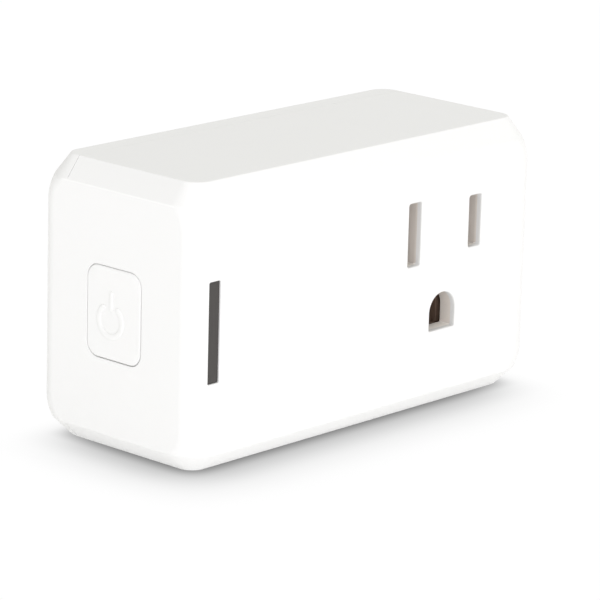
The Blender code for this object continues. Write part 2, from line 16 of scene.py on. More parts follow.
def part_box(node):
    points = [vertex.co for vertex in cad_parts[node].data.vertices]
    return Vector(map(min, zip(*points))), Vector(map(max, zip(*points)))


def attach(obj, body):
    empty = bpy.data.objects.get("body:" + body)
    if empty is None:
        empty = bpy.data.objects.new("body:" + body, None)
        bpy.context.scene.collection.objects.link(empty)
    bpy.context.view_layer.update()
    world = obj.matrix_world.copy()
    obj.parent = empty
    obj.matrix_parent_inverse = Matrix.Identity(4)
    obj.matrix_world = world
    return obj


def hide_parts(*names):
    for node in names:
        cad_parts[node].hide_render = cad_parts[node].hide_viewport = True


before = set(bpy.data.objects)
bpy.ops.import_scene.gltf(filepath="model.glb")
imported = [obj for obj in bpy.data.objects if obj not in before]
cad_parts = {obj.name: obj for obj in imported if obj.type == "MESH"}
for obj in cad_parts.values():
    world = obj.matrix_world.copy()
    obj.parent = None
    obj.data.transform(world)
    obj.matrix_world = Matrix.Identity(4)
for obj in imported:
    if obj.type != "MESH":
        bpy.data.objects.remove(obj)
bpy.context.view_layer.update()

bl_info = {
    "name": "Smart plug",
    "version": (1, 0, 0),
    "blender": (4, 5, 0),
    "location": "View3D > Sidebar > Smart plug",
    "description": "Builds the finished surfaces of a wall smart plug on its packed frame",
    "category": "Add Mesh",
}

MM = 0.001


def in_mm(node):
    """A CAD node's lowest and highest corners in millimetres."""
    low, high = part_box(node)
    return low / MM, high / MM


SHELL_LOW, SHELL_HIGH = in_mm("front_housing")
TRAY_LOW, TRAY_HIGH = in_mm("rear_cover")
CAP_LOW, CAP_HIGH = in_mm("power_button")
LENS_LOW, LENS_HIGH = in_mm("indicator_window")
NEUTRAL_LOW, NEUTRAL_HIGH = in_mm("neutral_blade")
HOT_LOW, HOT_HIGH = in_mm("hot_blade")
PIN_LOW, PIN_HIGH = in_mm("ground_pin")

LENGTH = SHELL_HIGH.x - SHELL_LOW.x
HEIGHT = SHELL_HIGH.z - SHELL_LOW.z
LEFT = SHELL_LOW.x
FRONT = SHELL_LOW.y
BACK = -FRONT
WALL_SEAM = SHELL_HIGH.y
NEUTRAL_X = (NEUTRAL_LOW.x + NEUTRAL_HIGH.x) / 2
HOT_X = (HOT_LOW.x + HOT_HIGH.x) / 2
BLADE_Z = (HOT_LOW.z + HOT_HIGH.z) / 2
PIN_X = (PIN_LOW.x + PIN_HIGH.x) / 2
PIN_Z = (PIN_LOW.z + PIN_HIGH.z) / 2


def linear(hex_colour):
    """An sRGB hex colour as the linear values that Blender's shaders take."""
    values = [int(hex_colour[i : i + 2], 16) / 255 for i in (1, 3, 5)]
    return [v / 12.92 if v <= 0.04045 else ((v + 0.055) / 1.055) ** 2.4 for v in values]


def length(name, description, millimetres):
    """A length setting with its default in millimetres."""
    return FloatProperty(
        name=name, description=description, default=millimetres * MM, min=0, unit="LENGTH", precision=5
    )


def colour(name, description, hex_colour):
    """A colour setting with its default as an sRGB hex colour."""
    return FloatVectorProperty(
        name=name, description=description, default=linear(hex_colour), size=3, min=0, max=1, subtype="COLOR"
    )


class PlugSizes(bpy.types.PropertyGroup):
    wall: length("Wall", "Thickness of the moulded walls", 1.8)
    corner: length("Corner radius", "Radius of the four upright corners", 3.0)
    top_swell: length("Top crease radius", "Radius the upright corners grow to at the top crease", 4.9)
    top_reach: length("Top swell height", "Height over which they grow below the top crease", 3.4)
    top_corner: length("Top corner radius", "Radius of the top face's corners", 2.4)
    foot_swell: length("Foot crease radius", "Radius the upright corners grow to at the foot crease", 4.8)
    foot_reach: length("Foot swell height", "Height over which they grow above the foot crease", 3.0)
    foot_corner: length("Foot corner radius", "Radius of the bottom face's corners", 2.0)
    top_inset: length("Top inset", "How far the top face is set in by the sloped band", 2.3)
    top_drop: length("Top drop", "Height of the sloped band below the top face", 3.0)
    bottom_inset: length("Bottom inset", "How far the bottom face is set in", 2.75)
    bottom_rise: length("Bottom rise", "Height of the sloped band above the bottom face", 2.65)
    band_seam: length("Band seam depth", "Seam's distance behind the front face on the sloped bands", 24.2)
    seam_gap: length("Seam gap", "Gap between shell and tray across the ends' sloped bands", 0.045)
    slot_width: length("Slot width", "Width of the two blade slots", 2.6)
    neutral_slot: length("Neutral slot height", "Height of the longer slot", 9.0)
    hot_slot: length("Hot slot height", "Height of the shorter slot", 7.4)
    ground_radius: length("Ground hole radius", "Radius of the arch over the ground hole", 2.7)
    ground_flat: length("Ground hole flat", "Depth of the flat below the ground hole's centre", 2.6)
    pad_depth: length("Socket depth", "Thickness of plastic round the three openings", 3.4)
    slot_step: length("Slot step", "Depth at which the slots widen a little", 1.25)
    ground_lip: length("Ground lip", "Thickness of the front face round the ground hole", 2.75)
    rim: length("Rim radius", "Rounding at the mouth of each opening", 0.22)
    window_recess: length("Window recess", "How far the dark window sits below the front face", 0.2)
    button_gap: length("Button gap", "Gap round the button", 0.09)
    button_step: length("Button step", "Depth of the shelf at the bottom of the gap", 0.3)
    mark_height: length("Mark height", "How far the moulded power mark stands off the button", 0.16)
    mark_stroke: length("Mark stroke", "Width of the power mark's line", 0.92)


class PlugColours(bpy.types.PropertyGroup):
    shell: colour("Shell", "White moulded housing", "#E1E1DF")
    window: colour("Window", "Smoked window over the light", "#28231F")
    blade: colour("Blade", "Brass of the plug blades", "#D9BC7C")
    carrier: colour("Carrier", "Brown contact carrier", "#715D4E")


class PlugSettings(bpy.types.PropertyGroup):
    sizes: PointerProperty(type=PlugSizes)
    colours: PointerProperty(type=PlugColours)


def size(name):
    """One of the plug's sizes, in millimetres."""
    return getattr(bpy.context.scene.smart_plug.sizes, name) / MM


def chosen(name):
    """One of the plug's colours."""
    return list(getattr(bpy.context.scene.smart_plug.colours, name))


# Outlines and skins


def arc(u, v, radius, start, end, steps):
    """Points round an arc about (u, v), from one angle to another."""
    turns = [start + (end - start) * step / steps for step in range(steps + 1)]
    return [(u + radius * math.cos(turn), v + radius * math.sin(turn)) for turn in turns]


def rounded_rectangle(width, height, radius, steps):
    """An outline that goes round from the (+, +) corner through (-, +) and (-, -) to (+, -)."""
    outline = []
    for turn, (side, end) in enumerate(((1, 1), (-1, 1), (-1, -1), (1, -1))):
        start = math.pi / 2 * turn
        middle = (side * (width / 2 - radius), end * (height / 2 - radius))
        outline += arc(*middle, radius, start, start + math.pi / 2, steps)
    return outline


def arch(radius, flat, corner, steps=28):
    """A round-topped outline with a flat foot, its two lower corners slightly rounded."""
    outline = arc(0, 0, radius, 0, math.pi, steps)
    outline += arc(corner - radius, corner - flat, corner, math.pi, math.pi * 1.5, 4)
    outline += arc(radius - corner, corner - flat, corner, math.pi * 1.5, math.pi * 2, 4)
    return outline


def circle(radius, steps=48):
    """Points round a circle, with the last one a step short of the first."""
    return arc(0, 0, radius, 0, math.tau * (1 - 1 / steps), steps - 1)


def softened(path, radii, steps=5):
    """The path with each inner corner turned into an arc of its own radius."""
    made = [path[0]]
    for before, corner, after, radius in zip(path, path[1:], path[2:], radii):
        corner = Vector(corner)
        back = (Vector(before) - corner).normalized()
        on = (Vector(after) - corner).normalized()
        half = back.angle(on) / 2
        centre = corner + (back + on).normalized() * radius / math.sin(half)
        first = corner + back * radius / math.tan(half) - centre
        last = corner + on * radius / math.tan(half) - centre
        sweep = first.angle(last)
        for step in range(steps + 1):
            t = step / steps
            spoke = first * math.sin((1 - t) * sweep) + last * math.sin(t * sweep)
            made.append(tuple(centre + spoke / math.sin(sweep)))
    return made + [path[-1]]


def skin(name, loops):
    """A closed body over loops of equally many points, given in millimetres."""
    shape = bmesh.new()
    rings = [[shape.verts.new(Vector(point) * MM) for point in loop] for loop in loops]
    for low, high in zip(rings, rings[1:]):
        for i in range(len(low)):
            shape.faces.new((low[i - 1], low[i], high[i], high[i - 1]))
    shape.faces.new(rings[0])
    shape.faces.new(rings[-1])
    bmesh.ops.recalc_face_normals(shape, faces=shape.faces)
    mesh = bpy.data.meshes.new(name)
    shape.to_mesh(mesh)
    shape.free()
    obj = bpy.data.objects.new(name, mesh)
    bpy.context.scene.collection.objects.link(obj)
    return obj


def on_face(face, u, v, depth):
    """The point at a depth below the housing's front, back or end, with u and v across that face."""
    if face == "front":
        return u, FRONT + depth, v
    if face == "back":
        return u, BACK - depth, v
    return LEFT + depth, u, v


def column(name, face, middle, outline, levels):
    """A skin of the outline, grown by each level's offset and set at its depth below a face."""
    loops = []
    for offset, depth in levels:
        points = outline(offset)
        loops.append([on_face(face, middle[0] + u, middle[1] + v, depth) for u, v in points])
    return skin(name, loops)


def quarter(radius):
    """(offset, depth) at steps round a quarter circle from a face into the wall of an opening."""
    turns = [math.radians(degrees) for degrees in (22, 45, 67, 90)]
    return [(radius * (1 - math.sin(turn)), radius * (1 - math.cos(turn))) for turn in turns]


def mouth(rim, depth):
    """Levels of a cutter that leaves a rounded rim where it enters a face."""
    return [(rim, -1.0), (rim, -0.02 * rim), *quarter(rim), (0, min(4 * rim, depth / 2)), (0, depth)]


def rectangle(width, height, corner, steps=5):
    """A function that gives a rounded rectangle grown by an offset."""

    def grown(offset):
        radius = max(corner + offset, 0.02)
        return rounded_rectangle(width + 2 * offset, height + 2 * offset, radius, steps)

    return grown


def disc(radius):
    """A function that gives a circle grown by an offset."""

    def grown(offset):
        return circle(radius + offset)

    return grown


def shaped(obj, *changes):
    """The object's mesh after a chain of (operation, other) Booleans, with the others used up."""
    for operation, other in changes:
        step = obj.modifiers.new(operation.lower(), "BOOLEAN")
        step.operation = operation
        step.solver = "EXACT"
        step.object = other
    graph = bpy.context.evaluated_depsgraph_get()
    mesh = bpy.data.meshes.new_from_object(obj.evaluated_get(graph))
    obj.modifiers.clear()
    obj.data = mesh
    for _, other in changes:
        bpy.data.objects.remove(other, do_unlink=True)
    if not mesh.polygons:
        raise RuntimeError(f"{obj.name} has no faces left")
    return obj


def less(*cutters):
    """Changes that cut these bodies away."""
    return [("DIFFERENCE", cutter) for cutter in cutters]


def plus(*others):
    """Changes that join these bodies on."""
    return [("UNION", other) for other in others]


def block(name, x, y, z):
    """A box between two values on each axis."""
    outline = ((x[0], y[0]), (x[1], y[0]), (x[1], y[1]), (x[0], y[1]))
    return skin(name, [[(u, v, height) for u, v in outline] for height in z])


def polished(obj, degrees=32):
    """Smooth shading that keeps flat faces flat and edges over the angle sharp."""
    obj.data.shade_smooth()
    obj.data.set_sharp_from_angle(angle=math.radians(degrees))
    even = obj.modifiers.new("even normals", "WEIGHTED_NORMAL")
    even.weight = 80
    even.keep_sharp = True
    return obj


def settled(obj, material, slot, body, *nodes):
    """Dresses a finished piece and hands it to the body it moves with."""
    obj.data.materials.clear()
    obj.data.materials.append(material)
    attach(obj, body)
    if nodes:
        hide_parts(*nodes)
    return obj


def split(obj, depth):
    """Cuts the faces of an object along the upright plane at a depth, in millimetres."""
    shape = bmesh.new()
    shape.from_mesh(obj.data)
    parts = [*shape.verts, *shape.edges, *shape.faces]
    bmesh.ops.bisect_plane(shape, geom=parts, plane_co=(0, depth * MM, 0), plane_no=(0, 1, 0))
    shape.to_mesh(obj.data)
    shape.free()


def accent(obj, material, test):
    """Gives a second material to the faces whose centre, in millimetres, and normal pass the test."""
    obj.data.materials.append(material)
    for face in obj.data.polygons:
        if test(face.center / MM, face.normal):
            face.material_index = len(obj.data.materials) - 1


# Materials


def node(tree, kind, inputs=(), **settings):
    """Adds a node, sets its properties and fills its inputs with values or with other nodes' outputs."""
    made = tree.nodes.new("ShaderNode" + kind)
    for name, value in settings.items():
        setattr(made, name, value)
    for name, value in dict(inputs).items():
        if isinstance(value, bpy.types.NodeSocket):
            tree.links.new(value, made.inputs[name])
        else:
            made.inputs[name].default_value = value
    return made


def blank(name):
    """A new material with its tree emptied but for the output."""
    material = bpy.data.materials.new(name)
    material.use_nodes = True
    tree = material.node_tree
    tree.nodes.clear()
    return material, tree, node(tree, "TexCoord").outputs["Object"]


def shade(tree, base, roughness, normal=None, **fixed):
    """The principled shader at the end of a tree, with its fixed values set on its own sockets."""
    inputs = {"Base Color": base, "Roughness": roughness}
    if normal:
        inputs["Normal"] = normal
    shader = node(tree, "BsdfPrincipled", inputs)
    for name, value in fixed.items():
        shader.inputs[name.replace("_", " ")].default_value = value
    node(tree, "OutputMaterial", {"Surface": shader.outputs["BSDF"]})


def spread(tree, place, grain_mm, low, high, detail=2.0):
    """Soft noise with features of the given size, mapped to the range low to high."""
    noise = node(tree, "TexNoise", {"Vector": place, "Scale": 1 / (grain_mm * MM), "Detail": detail})
    return node(
        tree, "MapRange", {"Value": noise.outputs["Fac"], "To Min": low, "To Max": high}
    ).outputs["Result"]


def calculated(tree, operation, *values):
    """The result of one arithmetic step on numbers or other nodes' outputs."""
    return node(tree, "Math", dict(enumerate(values)), operation=operation).outputs["Value"]


def tint(tree, factor, low, high):
    """A colour between two, by a factor."""
    return node(
        tree, "MixRGB", {"Fac": factor, "Color1": (*low, 1), "Color2": (*high, 1)}
    ).outputs["Color"]


def dimmed(rgb, share):
    """A colour with only a share of its light."""
    return [value * share for value in rgb]


def bumped(tree, height, strength, depth_mm):
    """The normal of a surface with this relief."""
    return node(
        tree, "Bump", {"Height": height, "Strength": strength, "Distance": depth_mm * MM}
    ).outputs["Normal"]


def moulded(name, rgb, roughness, grain_mm, relief=0.15, drift=0.04, ior=1.53):
    """Moulded plastic: a spark-eroded mould leaves an even satin grain, and the melt a faint drift."""
    material, tree, place = blank(name)
    drifted = tint(tree, spread(tree, place, 18, 0, 1), rgb, dimmed(rgb, 1 - drift))
    grain = node(tree, "TexNoise", {"Vector": place, "Scale": 1 / (grain_mm * MM), "Detail": 3.0})
    rough = spread(tree, place, 6, roughness * 0.92, roughness * 1.08)
    normal = bumped(tree, grain.outputs["Fac"], relief, 0.02)
    shade(tree, drifted, rough, normal, IOR=ior)
    return material


def stamped(name, rgb, roughness, across=(1, 0.04, 1), scratch_mm=0.12, relief=0.2):
    """Stamped sheet metal: rolling draws fine lines along it and handling dulls it in patches."""
    material, tree, place = blank(name)
    drawn = node(tree, "Mapping", {"Vector": place, "Scale": across}, vector_type="POINT")
    lines = node(
        tree, "TexNoise", {"Vector": drawn.outputs["Vector"], "Scale": 1 / (scratch_mm * MM), "Detail": 4.0}
    )
    dull = spread(tree, place, 3.5, 0, 1, 4.0)
    base = tint(tree, dull, rgb, dimmed(rgb, 0.82))
    rough = node(
        tree, "MapRange", {"Value": dull, "To Min": roughness * 0.8, "To Max": roughness * 1.35}
    ).outputs["Result"]
    shade(tree, base, rough, bumped(tree, lines.outputs["Fac"], relief, 0.01), Metallic=1.0)
    return material


def wound(name, rgb, wire_mm, roughness, metallic, axis="Y"):
    """Wire or tape laid in turns: even ridges, with painted shade darkening the grooves between them."""
    material, tree, place = blank(name)
    turns = node(
        tree,
        "TexWave",
        {"Vector": place, "Scale": math.tau / (20 * wire_mm * MM), "Distortion": 0.6, "Detail": 1.0},
        bands_direction=axis,
    )
    # Painted shade: darker where the ridges dip, in the grooves between turns.
    base = tint(tree, turns.outputs["Fac"], dimmed(rgb, 0.45), rgb)
    normal = bumped(tree, turns.outputs["Fac"], 0.8, wire_mm / 2)
    shade(tree, base, roughness, normal, Metallic=metallic)
    return material


def shell_plastic():
    # ABS blend, injection moulded with a fine spark-eroded finish: white, satin, barely warm.
    # The true grain is near 0.05 mm, too fine to show, so it is drawn at 0.25 mm.
    return moulded("ABS_satin_moulded_white", chosen("shell"), 0.42, 0.25, 0.12, 0.015)


def shell_mouth_painted_bounce():
    # The same ABS on the side walls of the socket openings: painted bounce light from the brown carrier behind
    # it, with a little painted shade, makes it warmer and a touch darker.
    return moulded("ABS_moulded_core_side", linear("#E0D9D0"), 0.5, 0.25, 0.12, 0.02)


def shell_floor_painted_light():
    # The same ABS on the lower face of each opening: glossier, and drawn lighter with painted light from
    # above.
    return moulded("ABS_moulded_core_floor", linear("#FBF7F0"), 0.35, 0.25, 0.08, 0.01)


def shell_edge_painted_highlight():
    # The same ABS along the end's crease and beside the seam: drawn smoother, and a shade lighter as a painted
    # highlight, so that the edge shows as a fine bright line.
    return moulded("ABS_moulded_insert_edge", linear("#E6E6E4"), 0.36, 0.25, 0.05, 0.01)


def window_plastic():
    # Polycarbonate, smoked and moulded in a half-polished mould: dark grey with a soft reflection.
    return moulded("polycarbonate_smoked_moulded", chosen("window"), 0.34, 0.3, 0.05, 0.1, 1.58)


def blade_metal():
    # Brass strip, stamped and tumbled: warm yellow with fine drawn lines along the blade.
    return stamped("brass_stamped_tumbled", chosen("blade"), 0.27)


def inner_finishes():
    """The finishes of the parts inside, by the record's material slot."""
    clear, tree, place = blank("acrylic_moulded_clear")
    # Acrylic light pipe, polished mould: clear with a faint milky drift.
    milk = tint(tree, spread(tree, place, 2.5, 0, 1), linear("#EEF2F4"), linear("#DDE5EA"))
    shade(tree, milk, 0.08, IOR=1.49, Transmission_Weight=0.8)

    board, tree, place = blank("glass_epoxy_solder_masked")
    # Glass-epoxy board under green solder mask: the 0.4 mm cloth shows faintly through the gloss.
    cloth = node(
        tree,
        "TexChecker",
        {"Vector": place, "Scale": 1 / (0.4 * MM), "Color1": (0, 0, 0, 1), "Color2": (1, 1, 1, 1)},
    )
    green = tint(tree, cloth.outputs["Fac"], linear("#155A33"), linear("#1A6A3C"))
    shade(tree, green, 0.3, bumped(tree, spread(tree, place, 1.2, 0, 1), 0.2, 0.02), IOR=1.55)

    return {
        # Glass-filled nylon, moulded: nearly black brown, dry satin.
        "carrier_plastic": moulded("nylon_glass_filled_moulded", chosen("carrier"), 0.5, 0.2, 0.3, 0.12),
        # Relay case in dark PBT, moulded: black with a fine grain.
        "relay_case": moulded("PBT_moulded_black", linear("#2B2B2E"), 0.4, 0.2, 0.2, 0.1),
        # Nylon coil former, moulded: natural off-white.
        "white_bobbin": moulded("nylon_moulded_natural", linear("#E4E1D6"), 0.45, 0.3),
        # Diode body, moulded clear epoxy over a pale cup.
        "led_body": moulded("epoxy_cast_pale", linear("#F4F3E8"), 0.25, 0.4),
        # Shrink sleeve over a capacitor: thin PVC, glossy near-black blue.
        "capacitor_sleeve": moulded("PVC_sleeve_shrunk", linear("#23232E"), 0.3, 1.5, 0.1, 0.15),
        # Epoxy powder coat on the disc, dipped: blue with a slight orange peel.
        "disc_blue": moulded("epoxy_dipped_blue", linear("#3E69A6"), 0.35, 0.8, 0.5),
        # Ferrite, pressed and sintered: dull dark grey with open pores.
        "ferrite": moulded("ferrite_sintered", linear("#4B4B4D"), 0.65, 0.15, 0.6, 0.2),
        # Resistor coating, dipped cement: matt sea green.
        "resistor_body": moulded("cement_dipped_green", linear("#87B094"), 0.55, 0.35, 0.4),
        # Polyester tape, wound: yellow film with soft laps.
        "tape_yellow": wound("polyester_tape_wound", linear("#E2C84E"), 2.2, 0.3, 0.0),
        # Enamelled copper wire, wound: reddish ridges; the wire is drawn at 0.25 mm so that it shows.
        "copper_winding": wound("copper_enamelled_wound", linear("#C8763F"), 0.25, 0.32, 0.8),
        # Phosphor-bronze strip, stamped and formed: reddish gold.
        "contact_brass": stamped("bronze_stamped_formed", linear("#D2A768"), 0.3),
        # Soft iron, stamped and zinc plated: grey with a dull bloom.
        "iron": stamped("iron_stamped_zinc_plated", linear("#BDBDBE"), 0.4),
        # Tinplate, pressed: bright cool grey.
        "shield_tin": stamped("tinplate_pressed", linear("#D6D7D9"), 0.25),
        # Steel screw, rolled and nickel plated.
        "screw_steel": stamped("steel_rolled_nickel_plated", linear("#C4C2BE"), 0.28),
        "clear_guide": clear,
        "board_green": board,
    }


NODE_SLOTS = {
    "carrier_plastic": (
        "switch_body",
        "contact_carrier",
        "contact_retainer",
        "board_header",
    ),
    "relay_case": ("relay_base", "relay_cover", "bridge_rectifier", "supply_chip"),
    "white_bobbin": ("relay_bobbin",),
    "led_body": ("indicator_led",),
    "capacitor_sleeve": ("switch_plunger", "input_capacitor", "output_capacitor"),
    "disc_blue": ("varistor",),
    "ferrite": ("transformer_core",),
    "resistor_body": ("fusible_resistor",),
    "tape_yellow": ("transformer_winding",),
    "copper_winding": ("relay_winding", "input_choke"),
    "contact_brass": (
        "neutral_contact",
        "hot_contact",
        "ground_contact",
        "neutral_strap",
        "ground_strap",
        "hot_input_strap",
        "hot_output_strap",
        "relay_contact_leaf",
        "relay_fixed_contact",
    ),
    "iron": ("relay_core", "relay_yoke", "relay_armature"),
    "shield_tin": ("wifi_shield",),
    "screw_steel": ("board_screw_left", "board_screw_right"),
    "clear_guide": ("light_guide",),
    "board_green": ("switch_board", "main_board", "wifi_board"),
}


# The housing's form


def housing_profile(shrink=0.0):
    """(inset, height) up the housing's side, with its edges and creases rounded."""
    inset, top = size("top_inset"), HEIGHT - shrink
    onto_flat = 3.5
    path = [
        (size("bottom_inset") + onto_flat + shrink, shrink),
        (size("bottom_inset") + shrink, shrink),
        (shrink, size("bottom_rise")),
        (shrink, HEIGHT - size("top_drop")),
        (inset + shrink, top),
        (inset + onto_flat + shrink, top),
    ]
    return softened(path, (0.45, 0.35, 0.55, 0.3))


def corner_radius(height):
    """The upright corner's radius at a height: it swells towards each crease and tightens on the bands."""
    crease, foot = HEIGHT - size("top_drop"), size("bottom_rise")
    if height >= crease:
        share = (height - crease) / size("top_drop")
        return size("top_swell") + (size("top_corner") - size("top_swell")) * share
    if height <= foot:
        share = (foot - height) / size("bottom_rise")
        return size("foot_swell") + (size("foot_corner") - size("foot_swell")) * share
    above = max(1 - (crease - height) / size("top_reach"), 0)
    below = max(1 - (height - foot) / size("foot_reach"), 0)
    plain = size("corner")
    return plain + (size("top_swell") - plain) * above**2 + (size("foot_swell") - plain) * below**2


def housing_loop(inset, height, shrink=0.0):
    """One level round the housing, set in from its widest outline."""
    # On the flat top and bottom the corners tighten as the loop goes further in.
    tightened = max(inset - shrink - size("bottom_inset") * 1.2, 0) * 0.6
    radius = max(corner_radius(height) - shrink - tightened, 0.6)
    outline = rounded_rectangle(LENGTH - 2 * inset, 2 * BACK - 2 * inset, radius, 12)
    return [(x, y, height) for x, y in outline]


def housing_form(name):
    """The whole outer skin, with extra levels where the upright corners swell."""
    crease, foot = HEIGHT - size("top_drop"), size("bottom_rise")
    shares = (0.18, 0.3, 0.45, 0.62, 0.8, 1.0)
    extra = [(0.0, crease - size("top_reach") * share) for share in shares]
    extra += [(0.0, foot + size("foot_reach") * share) for share in shares]
    levels = housing_profile()
    middle = [level for level in levels if foot - 1 < level[1] < crease + 1]
    below = [level for level in levels if level[1] <= foot - 1]
    above = [level for level in levels if level[1] >= crease + 1]
    wall = sorted(middle + extra, key=lambda level: level[1])
    return skin(name, [housing_loop(*level) for level in below + wall + above])


def in_socket(at, normal):
    """Whether a face is a side wall of one of the three socket openings."""
    deep = 4 * size("rim") < at.y - FRONT < size("pad_depth") + 0.1
    near = abs(at.x - PIN_X) < 9 and PIN_Z - 4 < at.z < BLADE_Z + 6
    return deep and near and abs(normal.y) < 0.9


def on_socket_floor(at, normal):
    """Whether a face is the lower face of a socket opening."""
    return in_socket(at, normal) and normal.z > 0.7


def beside_seam(at, normal):
    """Whether a face is on the tray's narrow edge along the seam across an end's upper band."""
    near = at.y < FRONT + size("band_seam") + SEAM_EDGE and at.z > HEIGHT - size("top_drop") - 0.1
    return near and abs(normal.x) > 0.5 and normal.z > 0.1


def on_end_crease(at, normal):
    """Whether a face is on the rounded crease between the end wall and its upper band."""
    high = abs(at.z - HEIGHT + size("top_drop")) < 0.4
    return high and normal.x < -0.6 and 0.15 < normal.z < 0.5 and abs(normal.y) < 0.1


def parted(side, gap=0.0):
    """Cutters for one side of the stepped seam: bands part at one depth and walls further back."""
    crease = HEIGHT - size("top_drop") + CREASE_CLEARANCE
    foot = size("bottom_rise") - CREASE_CLEARANCE
    band = FRONT + size("band_seam") + gap
    across = (-FAR, FAR)
    if side == "behind":
        return [
            block("top", across, (band, FAR), (crease, FAR)),
            block("foot", across, (band, FAR), (-FAR, foot)),
            block("walls", across, (WALL_SEAM, FAR), across),
        ]
    return [
        block("bands", across, (-FAR, band), across),
        block("walls", across, (-FAR, WALL_SEAM + SEAM_OVERLAP), (foot, crease)),
    ]


def housing_hollow(name):
    """The room inside the walls."""
    shrink = size("wall")
    loops = []
    for inset, height in (
        (size("bottom_inset"), 0),
        (0, size("bottom_rise")),
        (0, HEIGHT - size("top_drop")),
        (size("top_inset"), HEIGHT),
    ):
        inside = min(max(height, shrink), HEIGHT - shrink)
        loops.append(housing_loop(inset + shrink, inside, shrink))
    return skin(name, loops)


def socket_openings(name, slot_levels, hole_levels, widen=0.0, hole_widen=0.0):
    """Cutters for the two slots and the ground hole, grown by offset at each level's depth."""
    made = []
    slots = (("neutral", NEUTRAL_X, size("neutral_slot")), ("hot", HOT_X, size("hot_slot")))
    for side, x, height in slots:
        outline = rectangle(size("slot_width") + widen, height + widen, 0.35)
        made.append(column(f"{name}_{side}", "front", (x, BLADE_Z), outline, slot_levels))
    radius, flat = size("ground_radius") + hole_widen / 2, size("ground_flat") + hole_widen / 2

    def grown(offset):
        return arch(radius + offset, flat + offset, 0.25 + max(offset, 0))

    made.append(column(f"{name}_ground", "front", (PIN_X, PIN_Z), grown, hole_levels))
    return made


# A distance past the housing on every side, for the cutters.
FAR = 60
# How far the seam's step stands off the creases, and how far the tray runs past the seam on the walls.
CREASE_CLEARANCE = 0.12
SEAM_OVERLAP = 0.02
# Width of the strip on the tray beside the seam that carries the painted highlight.
SEAM_EDGE = 0.17
BUTTON_Y = (CAP_LOW.y + CAP_HIGH.y) / 2
BUTTON_Z = (CAP_LOW.z + CAP_HIGH.z) / 2
BUTTON_WIDTH = 10.2
BUTTON_HEIGHT = 12.8
BUTTON_CORNER = 2.0
BUTTON_ROUNDING = 0.22
BUTTON_PROUD = 0.03
# The cap sits a little towards the back and the top of its opening.
CAP_REST = (BUTTON_Y + 0.03, BUTTON_Z + 0.02)
# The power mark: its ring's centre and outer radius, half the ring's opening, and the bar's points.
RING_Y = 0.78
RING_Z = 18.55
RING_RADIUS = 2.63
RING_OPENING = math.radians(40)
BAR_Y = 0.63
BAR_TOP = 22.25
BAR_STEP = 0.41
BAR_POINTS = 6
# (across, rise) of the mark's section, in half widths and in heights; the feet go into the cap.
BEAD_SECTION = (
    (-1.0, -0.1),
    (-0.95, 0.35),
    (-0.72, 0.85),
    (-0.4, 1.0),
    (0, 1.02),
    (0.4, 1.0),
    (0.72, 0.85),
    (0.95, 0.35),
    (1.0, -0.1),
)
WINDOW_X = -30.58
WINDOW_Z = (LENS_LOW.z + LENS_HIGH.z) / 2 - 0.1
WINDOW_WIDTH = 2.1
WINDOW_HEIGHT = 13.85
# The block of plastic behind the socket.
PAD_WIDTH = 22.0
PAD_HEIGHT = 24.9
BOARD_POSTS = ((-20.8, 33.0), (0.6, 5.8))
POST_RADIUS = 2.0
PILOT_RADIUS = 0.95
# The tray's two lips inside the shell's end walls.
LIP_OFFSET = 1.0
LIP_WALL = 0.9
LIP_DEPTH = 1.6
LIP_Z = (5.2, 34.0)
# The shallow blank panel on the back.
PANEL_MIDDLE = (-11.5, 19.6)
PANEL_WIDTH = 26
PANEL_HEIGHT = 24
# The blades and the pin, with the play they have in the tray's openings.
BLADE_THICKNESS = 1.5
BLADE_SHOULDER = 0.6
BLADE_PLAY = 0.3
HOLE_RADIUS = 1.6
HOLE_FROM_TIP = 5.8
PIN_RADIUS = 2.37
PIN_PLAY = 0.15
# (offset, distance back from the tip) of a blade's narrowing end.
BLADE_TIP = ((0, 1.7), (-0.12, 0.9), (-0.3, 0.3), (-0.45, 0.08), (-0.6, 0))
# (place through the blade, growth of the radius) of the hole's cutter, with rounded rims.
HOLE_RIMS = (
    (-2, 0.4),
    (-0.752, 0.22),
    (-0.66, 0.06),
    (-0.5, 0),
    (0.5, 0),
    (0.66, 0.06),
    (0.752, 0.22),
    (2, 0.4),
)


def board_posts():
    """Changes that add the two screw posts for the main board, each with its pilot hole."""
    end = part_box("main_board")[0].y / MM - 0.3 - FRONT
    changes = []
    for spot in BOARD_POSTS:
        changes += plus(column("post", "front", spot, disc(POST_RADIUS), [(0.5, 1.2), (0, 2.6), (0, end)]))
        changes += less(column("pilot", "front", spot, disc(PILOT_RADIUS), [(0, end - 7), (0, end + 4)]))
    return changes


def socket_changes():
    """Changes that add the socket's block and the board's posts, then open the slots and the ground hole."""
    pad_depth = size("pad_depth")
    pad_levels = [(0, size("wall") - 0.5), (0, pad_depth)]
    middle = (PIN_X, (PIN_Z + BLADE_Z) / 2)
    changes = plus(column("pad", "front", middle, rectangle(PAD_WIDTH, PAD_HEIGHT, 1.2), pad_levels))
    changes += board_posts()
    rim = mouth(size("rim"), pad_depth + 1)
    changes += less(*socket_openings("slot", rim, rim))
    slot_step = [(0, size("slot_step")), (0, pad_depth + 2)]
    hole_step = [(0, size("ground_lip")), (0, pad_depth + 2)]
    return changes + less(*socket_openings("step", slot_step, hole_step, 0.3, 2.4))


def seam_gaps():
    """Cutters that set the shell's edge back from the tray across the ends' sloped bands."""
    gap = FRONT + size("band_seam") - size("seam_gap")
    made = []
    for side in (-1, 1):
        reach = sorted((side * (LENGTH / 2 - size("top_inset") - 0.1), side * FAR))
        made.append(block("top_gap", reach, (gap, FAR), (HEIGHT - size("top_drop") + 0.3, FAR)))
        made.append(block("foot_gap", reach, (gap, FAR), (-FAR, size("bottom_rise") - 0.2)))
    return made


